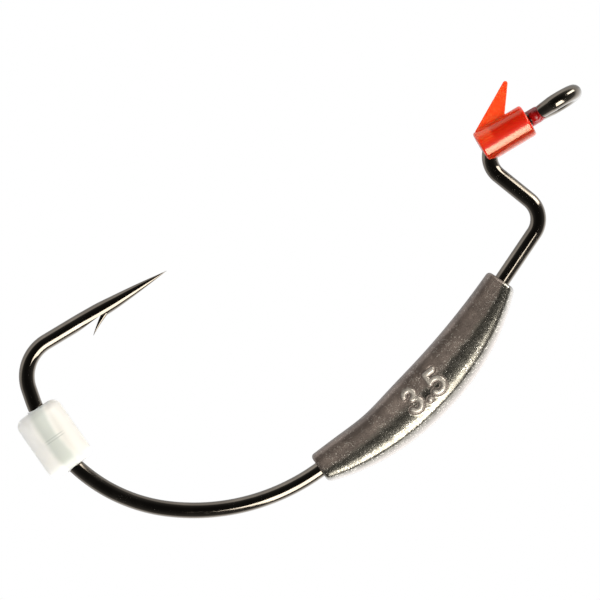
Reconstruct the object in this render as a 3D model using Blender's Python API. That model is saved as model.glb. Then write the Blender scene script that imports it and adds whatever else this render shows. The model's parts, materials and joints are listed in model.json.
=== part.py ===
"""Weighted wide-gap swimbait hook, modelled piece by piece.

One wire is bent into the whole hook: ring eye, neck, offset, shank, round bend and point leg.
A keel weight is cast round the shank, a plastic bait keeper is moulded round the neck, a soft
bead is threaded on the bend, and a drop of varnish seals the eye.

Frame: the origin is the centre of the eye's hole. +X is the direction in which the line pulls,
+Z is the side that the point is on, and the hook's plane is XZ. The eye's hole runs along Z.
All dimensions below are in millimetres and degrees; the meshes are in metres.
"""

import math

import bmesh
import bpy
from mathutils import Matrix, Vector

MM = 0.001

# Wire
WIRE_RADIUS = 0.80
WIRE_SIDES = 16
GAP = 0.10                      # between the wire and whatever is cast or moulded round it

# Eye: a ring drawn out to a closure on the neck
EYE_RADIUS = 1.78               # of the ring's centreline
EYE_END_ANGLE = 25.0            # of the cut end's straight lead to the closure
EYE_NECK_ANGLE = 28.0           # of the neck's straight lead out of the ring
EYE_END_LENGTH = 1.60
EYE_END_RADIUS = 0.68           # of the wire at its cut end
EYE_NECK_BEND = 1.60            # radius of the bend that straightens the neck

# Bend schedule from the neck to the point, bends in the hook's own plane
NECK_STRAIGHT_END = -6.65       # x where the neck begins to bend down
NECK_BEND = (2.40, 110.0)       # radius, angle
OFFSET_LENGTH = 3.90
OFFSET_BEND = (2.50, 85.0)
SHANK_LENGTH = 6.80
BELLY_BEND = (70.0, 21.0)
LOWER_BEND = (21.5, 42.0)
ROUND_BEND = (16.4, 64.0)       # the bead slides on this one
GAP_STRAIGHT = 1.08
GAP_BEND = (4.00, 78.0)
POINT_LEG_LENGTH = 5.88         # full-diameter stretch of the point leg
POINT_TAPER_LENGTH = 8.10
POINT_TAPER_POWER = 1.4         # above 1, so that the needle's sides are slightly crowned
POINT_DROP = 0.10               # the needle's tip lies this far below the leg's axis
POINT_DROP_REACH = 2.0          # the drop runs from this far before the taper to as far behind

# Barb: a sliver cut from the underside of the point leg
BARB_ROOT = (-49.55, 5.22)      # x, z of the middle of the root, inside the wire
BARB_TIP = (-51.95, 3.92)
BARB_ROOT_SIZE = (0.90, 0.52)   # width across, thickness
BARB_TIP_SIZE = (0.14, 0.08)

# Belly weight
WEIGHT_LENGTH = 26.4
WEIGHT_START = 5.70             # along the straight shank, from the end of the offset bend
WEIGHT_TOP = (1.62, 0.18)       # above the wire's axis: at the ends, and added at the middle
WEIGHT_BOTTOM = (1.50, 2.38)    # below the wire's axis: at the ends, and added at the middle
WEIGHT_HALF_WIDTH = (1.26, 0.52)
WEIGHT_SWELL_POWER = 2.2
WEIGHT_TOP_POWER = 3.4          # how square the section is above its widest line
WEIGHT_BOTTOM_POWER = 2.3
WEIGHT_DRAFT = 0.10             # how much narrower the top is than the bottom
WEIGHT_EDGE = 0.40              # rounding of the end faces
WEIGHT_STATIONS = 13
WEIGHT_SECTION_POINTS = 24
BORE_OVERRUN = 2.0              # of the bore's cutter beyond each end of the weight

# Keeper
SLEEVE_RADIUS = 1.70
SLEEVE_FRONT = -3.50
SLEEVE_REAR = -9.05
SLEEVE_EDGE = 0.25
SLEEVE_SIDES = 28
SLEEVE_HEEL = (-8.75, -1.55)    # x, z of the middle of the slanted cut at the lower rear corner
SLEEVE_HEEL_ANGLE = 40.0
SLEEVE_HEEL_CUTTER = 4.0        # edge of the cube that makes the slanted cut
SLEEVE_BORE_REAR = 2.8          # how far the bore runs on behind the neck's bend

FIN_THICKNESS = 0.90
FIN_FOOT_Z = 1.95
FIN_REAR_X = -8.25
FIN_FRONT_X = -5.12
FIN_TIP = (-3.62, 4.32)         # x, z of the centre of the tip's rounding
FIN_TIP_RADIUS = 0.24
FIN_TIP_STEPS = 5
FIN_EDGE = 0.12

# Bead
BEAD_RADIUS = 2.50
BEAD_LENGTH = 6.90
BEAD_INSET = 0.18               # of its straight axis, inward from the curved wire
BEAD_EDGE = 0.70
BEAD_SIDES = 32
BEAD_CLEARANCE = 0.08
BEAD_FROM_BEND_END = 15.7       # angle from the bead's middle to the round bend's upper end
BEAD_BORE_REACH = 15.0          # half the angle that the bore's cutter covers

# Varnish drop at the eye's closure
SEAL_CENTRE = (-2.74, -0.60, 0.02)
SEAL_RADII = (0.60, 0.46, 0.60)
SEAL_NECK_CUT = 7.0             # length of neck, from the ring's end, that is cut out of the drop

LEFT = Vector((0.0, -1.0, 0.0))     # axis of a left bend in the hook's plane, seen from -Y
UP = Vector((0.0, 0.0, 1.0))        # axis of a left bend in the eye's plane, seen from above


class WirePath:
    """A centreline laid end to end from straight lengths and bends, in millimetres."""

    def __init__(self, start, heading):
        self.points = [Vector(start)]
        self.heading = Vector(heading).normalized()
        self.headings = [self.heading.copy()]
        self.lengths = [0.0]

    def _add(self, point):
        self.lengths.append(self.lengths[-1] + (point - self.points[-1]).length)
        self.points.append(point)
        self.headings.append(self.heading.copy())

    @property
    def length(self):
        return self.lengths[-1]

    def straight(self, length, steps=1):
        start = self.points[-1]
        for step in range(1, steps + 1):
            self._add(start + self.heading * (length * step / steps))

    def bend(self, radius, degrees, axis, step_degrees):
        """Turn by degrees about axis by the right-hand rule; returns the bend's centre."""
        toward_centre = axis.cross(self.heading) * math.copysign(1.0, degrees)
        centre = self.points[-1] + toward_centre * radius
        steps = max(1, round(abs(degrees) / step_degrees))
        turn = Matrix.Rotation(math.radians(degrees / steps), 3, axis)
        arm = self.points[-1] - centre
        for _ in range(steps):
            arm = turn @ arm
            self.heading = turn @ self.heading
            self._add(centre + arm)
        return centre

    def at(self, distance):
        """Point and heading at a distance along the path."""
        for index in range(1, len(self.points)):
            if distance <= self.lengths[index] or index == len(self.points) - 1:
                before = self.lengths[index - 1]
                share = (distance - before) / (self.lengths[index] - before)
                point = self.points[index - 1].lerp(self.points[index], share)
                heading = self.headings[index - 1].lerp(self.headings[index], share)
                return point, heading.normalized()

    def stretch(self, start, end):
        """The path's own corner points between two distances, with both ends added."""
        inner = [p for p, s in zip(self.points, self.lengths) if start + 0.05 < s < end - 0.05]
        return [self.at(start)[0]] + inner + [self.at(end)[0]]


def hook_path():
    """The whole wire from its cut end at the eye to the point, and the places along it."""
    places = {}
    lead = math.radians(EYE_END_ANGLE)
    on_ring = Vector((-math.sin(lead), -math.cos(lead), 0.0)) * EYE_RADIUS
    outward = Vector((-math.cos(lead), math.sin(lead), 0.0))
    path = WirePath(on_ring + outward * EYE_END_LENGTH, -outward)
    path.straight(EYE_END_LENGTH, 2)
    path.bend(EYE_RADIUS, 180.0 + EYE_END_ANGLE + EYE_NECK_ANGLE, UP, 10.0)
    places["ring_end"] = path.length
    neck = math.radians(EYE_NECK_ANGLE)
    fall = EYE_NECK_BEND * (1.0 - math.cos(neck))
    path.straight((path.points[-1].y - fall) / math.sin(neck))
    path.bend(EYE_NECK_BEND, -EYE_NECK_ANGLE, UP, 9.0)
    path.straight(path.points[-1].x - NECK_STRAIGHT_END)
    path.bend(NECK_BEND[0], NECK_BEND[1], LEFT, 9.0)
    places["offset"] = path.length
    path.straight(OFFSET_LENGTH)
    path.bend(OFFSET_BEND[0], -OFFSET_BEND[1], LEFT, 9.0)
    places["shank"] = path.length
    path.straight(SHANK_LENGTH)
    path.bend(BELLY_BEND[0], -BELLY_BEND[1], LEFT, 3.0)
    path.bend(LOWER_BEND[0], -LOWER_BEND[1], LEFT, 4.2)
    places["round_centre"] = path.bend(ROUND_BEND[0], -ROUND_BEND[1], LEFT, 3.2)
    places["round_end"] = path.length
    path.straight(GAP_STRAIGHT)
    path.bend(GAP_BEND[0], -GAP_BEND[1], LEFT, 7.0)
    path.straight(POINT_LEG_LENGTH)
    places["taper"] = path.length
    path.straight(POINT_TAPER_LENGTH, 8)
    return path, places


def principled(name, colour, roughness, metallic=0.0, **more):
    """A material with its Principled values set."""
    material = bpy.data.materials.new(name)
    material.use_nodes = True
    shader = material.node_tree.nodes["Principled BSDF"]
    shader.inputs["Base Color"].default_value = (*colour, 1.0)
    shader.inputs["Roughness"].default_value = roughness
    shader.inputs["Metallic"].default_value = metallic
    for socket, value in more.items():
        shader.inputs[socket.replace("_", " ")].default_value = value
    return material


def add_object(name, bm, material=None):
    """Write a bmesh, built in millimetres, as an object in metres."""
    bmesh.ops.recalc_face_normals(bm, faces=bm.faces)
    bmesh.ops.scale(bm, vec=(MM, MM, MM), verts=bm.verts)
    mesh = bpy.data.meshes.new(name)
    bm.to_mesh(mesh)
    bm.free()
    obj = bpy.data.objects.new(name, mesh)
    bpy.context.scene.collection.objects.link(obj)
    if material is None:
        obj.hide_render = True
        obj.display_type = "WIRE"
    else:
        mesh.materials.append(material)
        mesh.shade_smooth()
        mesh.set_sharp_from_angle(angle=math.radians(35.0))
    return obj


def boolean(obj, operation, other):
    modifier = obj.modifiers.new(operation.lower(), "BOOLEAN")
    modifier.operation = operation
    modifier.solver = "EXACT"
    modifier.object = other


def skin(bm, rings):
    """Join rings of equal size into one closed tube with flat ends."""
    loops = [[bm.verts.new(point) for point in ring] for ring in rings]
    for one, two in zip(loops, loops[1:]):
        for index in range(len(one)):
            following = (index + 1) % len(one)
            bm.faces.new((one[index], one[following], two[following], two[index]))
    bm.faces.new(loops[0])
    bm.faces.new(loops[-1][::-1])


def sweep(points, radii, sides):
    """A round bar along points; its rings stand in the mitre planes and don't twist."""
    bm = bmesh.new()
    rings = []
    side = UP.copy() if abs((points[1] - points[0]).normalized().z) < 0.9 else LEFT.copy()
    for index, point in enumerate(points):
        before = (point - points[index - 1]).normalized() if index else None
        after = (points[index + 1] - point).normalized() if index + 1 < len(points) else None
        along = ((before or after) + (after or before)).normalized()
        side = (side - along * side.dot(along)).normalized()
        across = along.cross(side)
        radius = radii[index] if isinstance(radii, list) else radii
        turns = [2.0 * math.pi * step / sides for step in range(sides)]
        rings.append([point + side * (radius * math.cos(a)) + across * (radius * math.sin(a))
                      for a in turns])
    skin(bm, rings)
    return bm


def lathe(profile, sides, centre, along):
    """A turned solid: profile holds (distance along the axis, radius) from end to end."""
    bm = bmesh.new()
    side = LEFT.copy()
    across = along.cross(side)
    rings = []
    for offset, radius in profile:
        middle = centre + along * offset
        turns = [2.0 * math.pi * (step + 0.5) / sides for step in range(sides)]
        rings.append([middle + side * (radius * math.cos(a)) + across * (radius * math.sin(a))
                      for a in turns])
    skin(bm, rings)
    return bm


def rounded_bar(length, radius, edge, steps):
    """Profile for lathe: a straight bar with quarter-round edges, centred on its middle."""
    quarter = [math.radians(90.0 * step / steps) for step in range(steps + 1)]
    half = length / 2.0
    start = [(-half + edge * (1.0 - math.sin(a)), radius - edge * (1.0 - math.cos(a)))
             for a in reversed(quarter)]
    end = [(-offset, r) for offset, r in reversed(start)]
    return start + end


def wire_radii(path, places):
    """Radius at each of the path's points: a forged cut end, a plain wire and a needle."""
    radii = []
    for distance in path.lengths:
        if distance < EYE_END_LENGTH:
            forged = 1.0 - distance / EYE_END_LENGTH
            radii.append(WIRE_RADIUS - (WIRE_RADIUS - EYE_END_RADIUS) * forged)
            continue
        taper = max(0.0, (distance - places["taper"]) / POINT_TAPER_LENGTH)
        radii.append(max(0.03, WIRE_RADIUS * (1.0 - taper ** POINT_TAPER_POWER)))
    return radii


def make_hook(path, places):
    """The wire, with the needle's tip a little below the leg's axis, and the cut barb."""
    points = []
    for point, distance in zip(path.points, path.lengths):
        past = distance - places["taper"] + POINT_DROP_REACH
        share = min(1.0, max(0.0, past / (2.0 * POINT_DROP_REACH)))
        points.append(point - UP * (POINT_DROP * share))
    steel = principled("black_nickel", (0.05, 0.045, 0.04), 0.16, 1.0)
    hook = add_object("hook", sweep(points, wire_radii(path, places), WIRE_SIDES), steel)

    root = Vector((BARB_ROOT[0], 0.0, BARB_ROOT[1]))
    tip = Vector((BARB_TIP[0], 0.0, BARB_TIP[1]))
    along = (tip - root).normalized()
    upward = along.cross(LEFT)
    rings = []
    for middle, (width, thickness) in ((root, BARB_ROOT_SIZE), (tip, BARB_TIP_SIZE)):
        corners = ((-1, -1), (1, -1), (1, 1), (-1, 1))
        rings.append([middle + LEFT * (a * width / 2.0) + upward * (b * thickness / 2.0)
                      for a, b in corners])
    bm = bmesh.new()
    skin(bm, rings)
    boolean(hook, "UNION", add_object("barb_sliver", bm))


def weight_section(point, heading, u, inset):
    """One closed section of the weight; u runs from -1 at the front to 1 at the rear."""
    upward = heading.cross(LEFT)
    swell = 1.0 - abs(u) ** WEIGHT_SWELL_POWER
    top = WEIGHT_TOP[0] + WEIGHT_TOP[1] * swell - inset
    bottom = WEIGHT_BOTTOM[0] + WEIGHT_BOTTOM[1] * swell - inset
    half_width = WEIGHT_HALF_WIDTH[0] + WEIGHT_HALF_WIDTH[1] * swell - inset
    middle = point + upward * ((top - bottom) / 2.0)
    half_height = (top + bottom) / 2.0
    ring = []
    for step in range(WEIGHT_SECTION_POINTS):
        angle = 2.0 * math.pi * (step + 0.5) / WEIGHT_SECTION_POINTS
        rise, side = math.cos(angle), math.sin(angle)
        power = 2.0 / (WEIGHT_TOP_POWER if rise > 0 else WEIGHT_BOTTOM_POWER)
        rise = math.copysign(abs(rise) ** power, rise)
        side = math.copysign(abs(side) ** power, side)
        width = half_width * side * (1.0 - WEIGHT_DRAFT * rise)
        ring.append(middle + upward * (half_height * rise) + LEFT * width)
    return ring


def make_belly_weight(path, places):
    """A keel cast round the shank, deepest at its middle, with a bore where the wire runs."""
    start = places["shank"] + WEIGHT_START
    rings = []
    ends = [(0.0, WEIGHT_EDGE), (WEIGHT_EDGE * 0.3, WEIGHT_EDGE * 0.3)]
    even = [WEIGHT_EDGE + (WEIGHT_LENGTH - 2.0 * WEIGHT_EDGE) * step / (WEIGHT_STATIONS - 1)
            for step in range(WEIGHT_STATIONS)]
    stations = ends + [(s, 0.0) for s in even]
    stations += [(WEIGHT_LENGTH - s, inset) for s, inset in reversed(ends)]
    for distance, inset in stations:
        point, heading = path.at(start + distance)
        rings.append(weight_section(point, heading, 2.0 * distance / WEIGHT_LENGTH - 1.0, inset))
    bm = bmesh.new()
    skin(bm, rings)
    lead = principled("cast_lead", (0.30, 0.27, 0.25), 0.42, 0.85)
    weight = add_object("belly_weight", bm, lead)
    bore = path.stretch(start - BORE_OVERRUN, start + WEIGHT_LENGTH + BORE_OVERRUN)
    cutter = sweep(bore, WIRE_RADIUS + GAP, WIRE_SIDES)
    boolean(weight, "DIFFERENCE", add_object("weight_bore", cutter))


def make_keeper(path, places):
    """The sleeve on the neck and the fin that stands on it, apart at the fin's hinge line."""
    plastic = principled("orange_plastic", (0.80, 0.06, 0.015), 0.28)
    length = SLEEVE_FRONT - SLEEVE_REAR
    middle = Vector(((SLEEVE_FRONT + SLEEVE_REAR) / 2.0, 0.0, 0.0))
    profile = rounded_bar(length, SLEEVE_RADIUS, SLEEVE_EDGE, 2)
    sleeve = add_object("keeper_sleeve",
                        lathe(profile, SLEEVE_SIDES, middle, Vector((1.0, 0.0, 0.0))), plastic)
    bore = path.stretch(places["ring_end"], places["offset"] + SLEEVE_BORE_REAR)
    cutter = sweep(bore, WIRE_RADIUS + GAP, WIRE_SIDES)
    boolean(sleeve, "DIFFERENCE", add_object("sleeve_bore", cutter))

    heel = bmesh.new()
    bmesh.ops.create_cube(heel, size=SLEEVE_HEEL_CUTTER)
    bmesh.ops.translate(heel, vec=(0.0, 0.0, -SLEEVE_HEEL_CUTTER / 2.0), verts=heel.verts)
    slant = Matrix.Rotation(math.radians(SLEEVE_HEEL_ANGLE), 4, "Y")
    place = Matrix.Translation((SLEEVE_HEEL[0], 0.0, SLEEVE_HEEL[1]))
    bmesh.ops.transform(heel, matrix=place @ slant, verts=heel.verts)
    boolean(sleeve, "DIFFERENCE", add_object("heel_cut", heel))

    tip = Vector((FIN_TIP[0], 0.0, FIN_TIP[1]))
    rear = Vector((FIN_REAR_X, 0.0, FIN_FOOT_Z))
    front = Vector((FIN_FRONT_X, 0.0, FIN_FOOT_Z))
    ramp = math.atan2(tip.z - rear.z, tip.x - rear.x) + math.radians(90.0)
    under = math.atan2(tip.z - front.z, tip.x - front.x) - math.radians(90.0)
    outline = [rear, front]
    for step in range(FIN_TIP_STEPS + 1):
        angle = under + (ramp - under) * step / FIN_TIP_STEPS
        outline.append(tip + Vector((math.cos(angle), 0.0, math.sin(angle))) * FIN_TIP_RADIUS)
    bm = bmesh.new()
    half = LEFT * (FIN_THICKNESS / 2.0)
    skin(bm, [[p - half for p in outline], [p + half for p in outline]])
    fin = add_object("keeper_fin", bm, plastic)
    bevel = fin.modifiers.new("edges", "BEVEL")
    bevel.width = FIN_EDGE * MM
    bevel.segments = 1
    bevel.limit_method = "ANGLE"


def make_stopper_bead(path, places):
    """A soft round bead; its bore follows the round bend that it slides on."""
    radius, _ = ROUND_BEND
    centre = places["round_centre"]
    back = Matrix.Rotation(math.radians(BEAD_FROM_BEND_END), 3, LEFT)
    bend_end, heading = path.at(places["round_end"])
    on_wire = centre + back @ (bend_end - centre)
    middle = on_wire + (centre - on_wire).normalized() * BEAD_INSET
    along = back @ heading
    profile = rounded_bar(BEAD_LENGTH, BEAD_RADIUS, BEAD_EDGE, 4)
    silicone = principled("clear_silicone", (0.86, 0.85, 0.80), 0.38, Transmission_Weight=0.3)
    bead = add_object("stopper_bead", lathe(profile, BEAD_SIDES, middle, along), silicone)

    reach = Matrix.Rotation(math.radians(BEAD_BORE_REACH), 3, LEFT)
    bore = WirePath(centre + reach @ (on_wire - centre), reach @ along)
    bore.bend(radius, -2.0 * BEAD_BORE_REACH, LEFT, 3.0)
    cutter = sweep(bore.points, WIRE_RADIUS + BEAD_CLEARANCE, WIRE_SIDES)
    boolean(bead, "DIFFERENCE", add_object("bead_bore", cutter))


def make_eye_seal(path, places):
    """A drop of varnish in the notch between the wire's cut end and the neck."""
    bm = bmesh.new()
    bmesh.ops.create_uvsphere(bm, u_segments=20, v_segments=12, radius=1.0)
    bmesh.ops.scale(bm, vec=SEAL_RADII, verts=bm.verts)
    bmesh.ops.translate(bm, vec=SEAL_CENTRE, verts=bm.verts)
    varnish = principled("red_varnish", (0.35, 0.005, 0.005), 0.12)
    seal = add_object("eye_seal", bm, varnish)
    neck = path.stretch(places["ring_end"] - EYE_RADIUS, places["ring_end"] + SEAL_NECK_CUT)
    neck_cut = sweep(neck, WIRE_RADIUS + GAP, WIRE_SIDES)
    boolean(seal, "DIFFERENCE", add_object("seal_neck_cut", neck_cut))
    outward = (path.points[0] - path.points[1]).normalized()
    end = [path.points[0] + outward * GAP] + path.stretch(0.0, EYE_END_LENGTH)[1:]
    end_cut = sweep(end, EYE_END_RADIUS + 2.0 * GAP, WIRE_SIDES)
    boolean(seal, "DIFFERENCE", add_object("seal_end_cut", end_cut))


def main():
    for obj in list(bpy.data.objects):
        bpy.data.objects.remove(obj)
    path, places = hook_path()
    make_hook(path, places)
    make_belly_weight(path, places)
    make_keeper(path, places)
    make_stopper_bead(path, places)
    make_eye_seal(path, places)


main()
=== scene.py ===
"""Weighted swimbait hook: the finished pieces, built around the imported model.

One wire is the whole hook. Round it sit a cast belly weight, a moulded bait keeper, a soft bead
on the bend and a drop of varnish at the eye. The origin is the eye's centre, +X is the pull of
the line, +Z is the side that the point is on, and the hook's plane is XZ.
"""

import json
import math

import bmesh
import bpy
import numpy as np
from bpy.props import FloatProperty, FloatVectorProperty, IntProperty, PointerProperty
from mathutils import Matrix, Vector


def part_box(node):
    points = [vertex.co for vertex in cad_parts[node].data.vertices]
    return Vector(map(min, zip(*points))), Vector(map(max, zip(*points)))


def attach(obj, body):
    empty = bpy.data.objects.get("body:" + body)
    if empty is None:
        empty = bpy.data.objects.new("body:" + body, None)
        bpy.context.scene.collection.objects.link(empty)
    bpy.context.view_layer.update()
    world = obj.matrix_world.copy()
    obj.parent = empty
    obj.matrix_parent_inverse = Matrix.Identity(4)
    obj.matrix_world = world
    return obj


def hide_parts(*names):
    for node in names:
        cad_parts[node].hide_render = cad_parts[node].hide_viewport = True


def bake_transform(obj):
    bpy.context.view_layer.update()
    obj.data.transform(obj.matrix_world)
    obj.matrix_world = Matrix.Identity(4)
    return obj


bl_info = {
    "name": "Weighted Swimbait Hook",
    "version": (1, 0, 0),
    "blender": (4, 5, 0),
    "location": "View3D > Sidebar > Swimbait Hook",
    "description": "Builds a weighted wide-gap hook with its belly weight, bait keeper and bead",
    "category": "Object",
}

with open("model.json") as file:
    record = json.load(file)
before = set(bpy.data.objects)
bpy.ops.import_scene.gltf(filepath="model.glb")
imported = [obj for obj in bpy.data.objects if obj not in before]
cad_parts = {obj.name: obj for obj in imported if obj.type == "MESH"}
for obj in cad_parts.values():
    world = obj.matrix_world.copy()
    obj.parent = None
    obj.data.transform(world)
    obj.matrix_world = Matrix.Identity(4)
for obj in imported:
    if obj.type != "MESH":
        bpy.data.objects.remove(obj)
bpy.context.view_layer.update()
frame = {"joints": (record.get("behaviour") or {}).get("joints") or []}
JOINTS = {joint["name"]: joint for joint in frame["joints"]}
MM = 0.001

LEFT = Vector((0.0, -1.0, 0.0))     # axis of a left bend in the hook's plane, seen from -Y
UP = Vector((0.0, 0.0, 1.0))        # axis of a left bend in the eye's plane, seen from above

# The wire, in millimetres and degrees; a bend is its radius and its angle
EYE_RADIUS = 1.78               # of the ring's centreline
EYE_END_ANGLE = 25.0            # of the cut end's straight lead to the closure
EYE_NECK_ANGLE = 28.0           # of the neck's straight lead out of the ring
EYE_END_LENGTH = 1.60
EYE_END_ROUNDING = 0.22
EYE_NECK_BEND = 1.60            # radius of the bend that straightens the neck
EYE_TWIST_FADE = 2.0            # length of neck over which the ring's twist dies out
NECK_STRAIGHT_END = -6.65       # x where the neck begins to bend down
NECK_BEND = (2.40, 110.0)
OFFSET_LENGTH = 3.90
OFFSET_BEND = (2.50, -85.0)
SHANK_LENGTH = 6.80
BELLY_BEND = (70.0, -21.0)
LOWER_BEND = (21.5, -42.0)
ROUND_BEND = (16.4, -64.0)      # the bead slides on this one
GAP_STRAIGHT = 1.08
GAP_BEND = (4.00, -78.0)
POINT_LEG_LENGTH = 5.88         # full-diameter stretch of the point leg
POINT_TAPER_LENGTH = 8.10
POINT_TAPER_POWER = 1.4         # above 1, so that the needle's sides are slightly crowned
POINT_TIP_SHARE = 0.025         # of the wire's radius
POINT_DROP = 0.10               # the needle's tip lies this far below the leg's axis
POINT_DROP_REACH = 2.0          # the drop runs from this far before the taper to as far behind


# ---------------------------------------------------------------- settings

def length_setting(name, description, millimetres):
    return FloatProperty(name=name, description=description, default=millimetres * MM,
                         min=0.0, precision=5, subtype="DISTANCE", unit="LENGTH")


def colour_setting(name, description, colour):
    return FloatVectorProperty(name=name, description=description, default=colour,
                               size=3, min=0.0, max=1.0, subtype="COLOR")


def share_setting(name, description, value):
    return FloatProperty(name=name, description=description, default=value,
                         min=0.0, max=1.0, subtype="FACTOR")


def angle_setting(name, description, degrees):
    return FloatProperty(name=name, description=description, default=math.radians(degrees),
                         subtype="ANGLE", unit="ROTATION")


class HookWireSettings(bpy.types.PropertyGroup):
    """Sizes and finish of the hook's wire."""
    radius: length_setting("Wire Radius", "Radius of the plain wire", 0.80)
    end_radius: length_setting("Cut End Radius", "Radius of the wire at the eye's cut end", 0.68)
    sides: IntProperty(name="Sides", description="Faces round the wire", default=48, min=8)
    eye_twist: angle_setting("Eye Twist", "Turn of the ring about the neck", 4.8)
    colour: colour_setting("Plating", "Colour that the plating reflects", (0.094, 0.082, 0.068))
    dust_colour: colour_setting("Dust", "Colour of the dust specks", (0.15, 0.135, 0.12))
    roughness: share_setting("Plating Roughness", "Roughness of the plating", 0.10)


class BellyWeightSettings(bpy.types.PropertyGroup):
    """Sizes and finish of the weight cast on the shank."""
    length: length_setting("Length", "Length along the wire", 26.4)
    edge: length_setting("End Edge", "Rounding of the end faces", 0.40)
    mark_height: length_setting("Mark Height", "Height of the raised numerals", 2.45)
    mark_relief: length_setting("Mark Relief", "How far the numerals stand proud", 0.15)
    colour: colour_setting("Lead", "Colour that the bare lead reflects", (0.165, 0.155, 0.132))
    keel_colour: colour_setting("Keel", "Colour of the smooth keel", (0.33, 0.305, 0.29))
    patina: colour_setting("Patina", "Colour of the patina on the flats", (0.152, 0.120, 0.103))
    # partly wear, partly a painted highlight: the numerals' lighter tops
    worn_colour: colour_setting("Worn", "Colour of the numerals' rubbed tops", (0.42, 0.385, 0.34))
    glint_colour: colour_setting("Glint", "Colour of the bright grains", (0.60, 0.56, 0.50))
    roughness: share_setting("Lead Roughness", "Roughness of the cast skin", 0.34)


class KeeperSettings(bpy.types.PropertyGroup):
    """Sizes and finish of the bait keeper."""
    radius: length_setting("Sleeve Radius", "Outer radius of the sleeve", 1.70)
    edge: length_setting("Sleeve Edge", "Rounding of the sleeve's ends", 0.26)
    fin_thickness: length_setting("Fin Thickness", "Thickness of the barb fin", 0.90)
    colour: colour_setting("Sleeve Colour", "Colour of the thick plastic", (0.50, 0.012, 0.001))
    # painted light: the fin's colour, lighter as if light shone through the thin plastic
    thin_colour: colour_setting("Fin Colour", "Colour of the thin fin", (0.76, 0.072, 0.016))
    # painted shade: the darker colour of the sleeve's underside
    under_colour: colour_setting("Underside", "Colour of the sleeve's underside",
                                 (0.16, 0.012, 0.002))


class BeadSettings(bpy.types.PropertyGroup):
    """Sizes and finish of the soft bead."""
    radius: length_setting("Radius", "Outer radius", 2.50)
    length: length_setting("Length", "Length along its axis", 6.90)
    edge: length_setting("Edge", "Rounding of the end rims", 0.95)
    inset: length_setting("Inset", "Of the straight axis from the curved wire", 0.18)
    colour: colour_setting("Silicone", "Colour of the silicone", (0.92, 0.89, 0.84))
    # painted shade: the wire seen through the silicone
    wire_colour: colour_setting("Wire Ghost", "Colour where the wire shows through",
                                (0.50, 0.53, 0.50))


class VarnishSettings(bpy.types.PropertyGroup):
    """Sizes and finish of the sealing varnish."""
    film: length_setting("Film", "Thickness of the film on the neck", 0.035)
    colour: colour_setting("Varnish", "Colour of the varnish", (0.27, 0.002, 0.002))


class StudioSettings(bpy.types.PropertyGroup):
    """Camera and lights."""
    distance: length_setting("Camera Distance", "From the hook to the camera", 700.0)
    frame_width: length_setting("Frame Width", "Width that the camera sees at the hook", 60.0)
    roll: angle_setting("Roll", "Turn of the camera about its line of sight", 31.0)
    floor_drop: length_setting("Floor Drop", "From the eye down to the floor", 900.0)


class SwimbaitHookSettings(bpy.types.PropertyGroup):
    """All the settings of the hook."""
    wire: PointerProperty(type=HookWireSettings)
    weight: PointerProperty(type=BellyWeightSettings)
    keeper: PointerProperty(type=KeeperSettings)
    bead: PointerProperty(type=BeadSettings)
    varnish: PointerProperty(type=VarnishSettings)
    studio: PointerProperty(type=StudioSettings)


# ---------------------------------------------------------------- the wire's path

class WirePath:
    """A centreline laid end to end from straight lengths and bends, in millimetres."""

    def __init__(self, start, heading):
        self.points = [Vector(start)]
        self.heading = Vector(heading).normalized()
        self.headings = [self.heading.copy()]
        self.lengths = [0.0]

    def _add(self, point, distance):
        self.lengths.append(self.lengths[-1] + distance)
        self.points.append(point)
        self.headings.append(self.heading.copy())

    def straight(self, length, step=0.5):
        start = self.points[-1]
        steps = max(1, round(length / step))
        for index in range(1, steps + 1):
            self._add(start + self.heading * (length * index / steps), length / steps)

    def bend(self, radius, degrees, axis, step_degrees=2.5):
        """Turn by degrees about axis by the right-hand rule."""
        toward_centre = axis.cross(self.heading) * math.copysign(1.0, degrees)
        centre = self.points[-1] + toward_centre * radius
        steps = max(1, round(abs(degrees) / step_degrees))
        turn = Matrix.Rotation(math.radians(degrees / steps), 3, axis)
        arm = self.points[-1] - centre
        for _ in range(steps):
            arm = turn @ arm
            self.heading = turn @ self.heading
            self._add(centre + arm, radius * math.radians(abs(degrees) / steps))

    def at(self, distance):
        """Point and heading at a distance along the path."""
        index = min(max(int(np.searchsorted(self.lengths, distance)), 1), len(self.points) - 1)
        before = self.lengths[index - 1]
        share = (distance - before) / (self.lengths[index] - before)
        point = self.points[index - 1].lerp(self.points[index], share)
        return point, self.headings[index - 1].lerp(self.headings[index], share).normalized()

    def stretch(self, start, end, step):
        count = max(1, round((end - start) / step))
        return [self.at(start + (end - start) * index / count)[0] for index in range(count + 1)]


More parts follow.
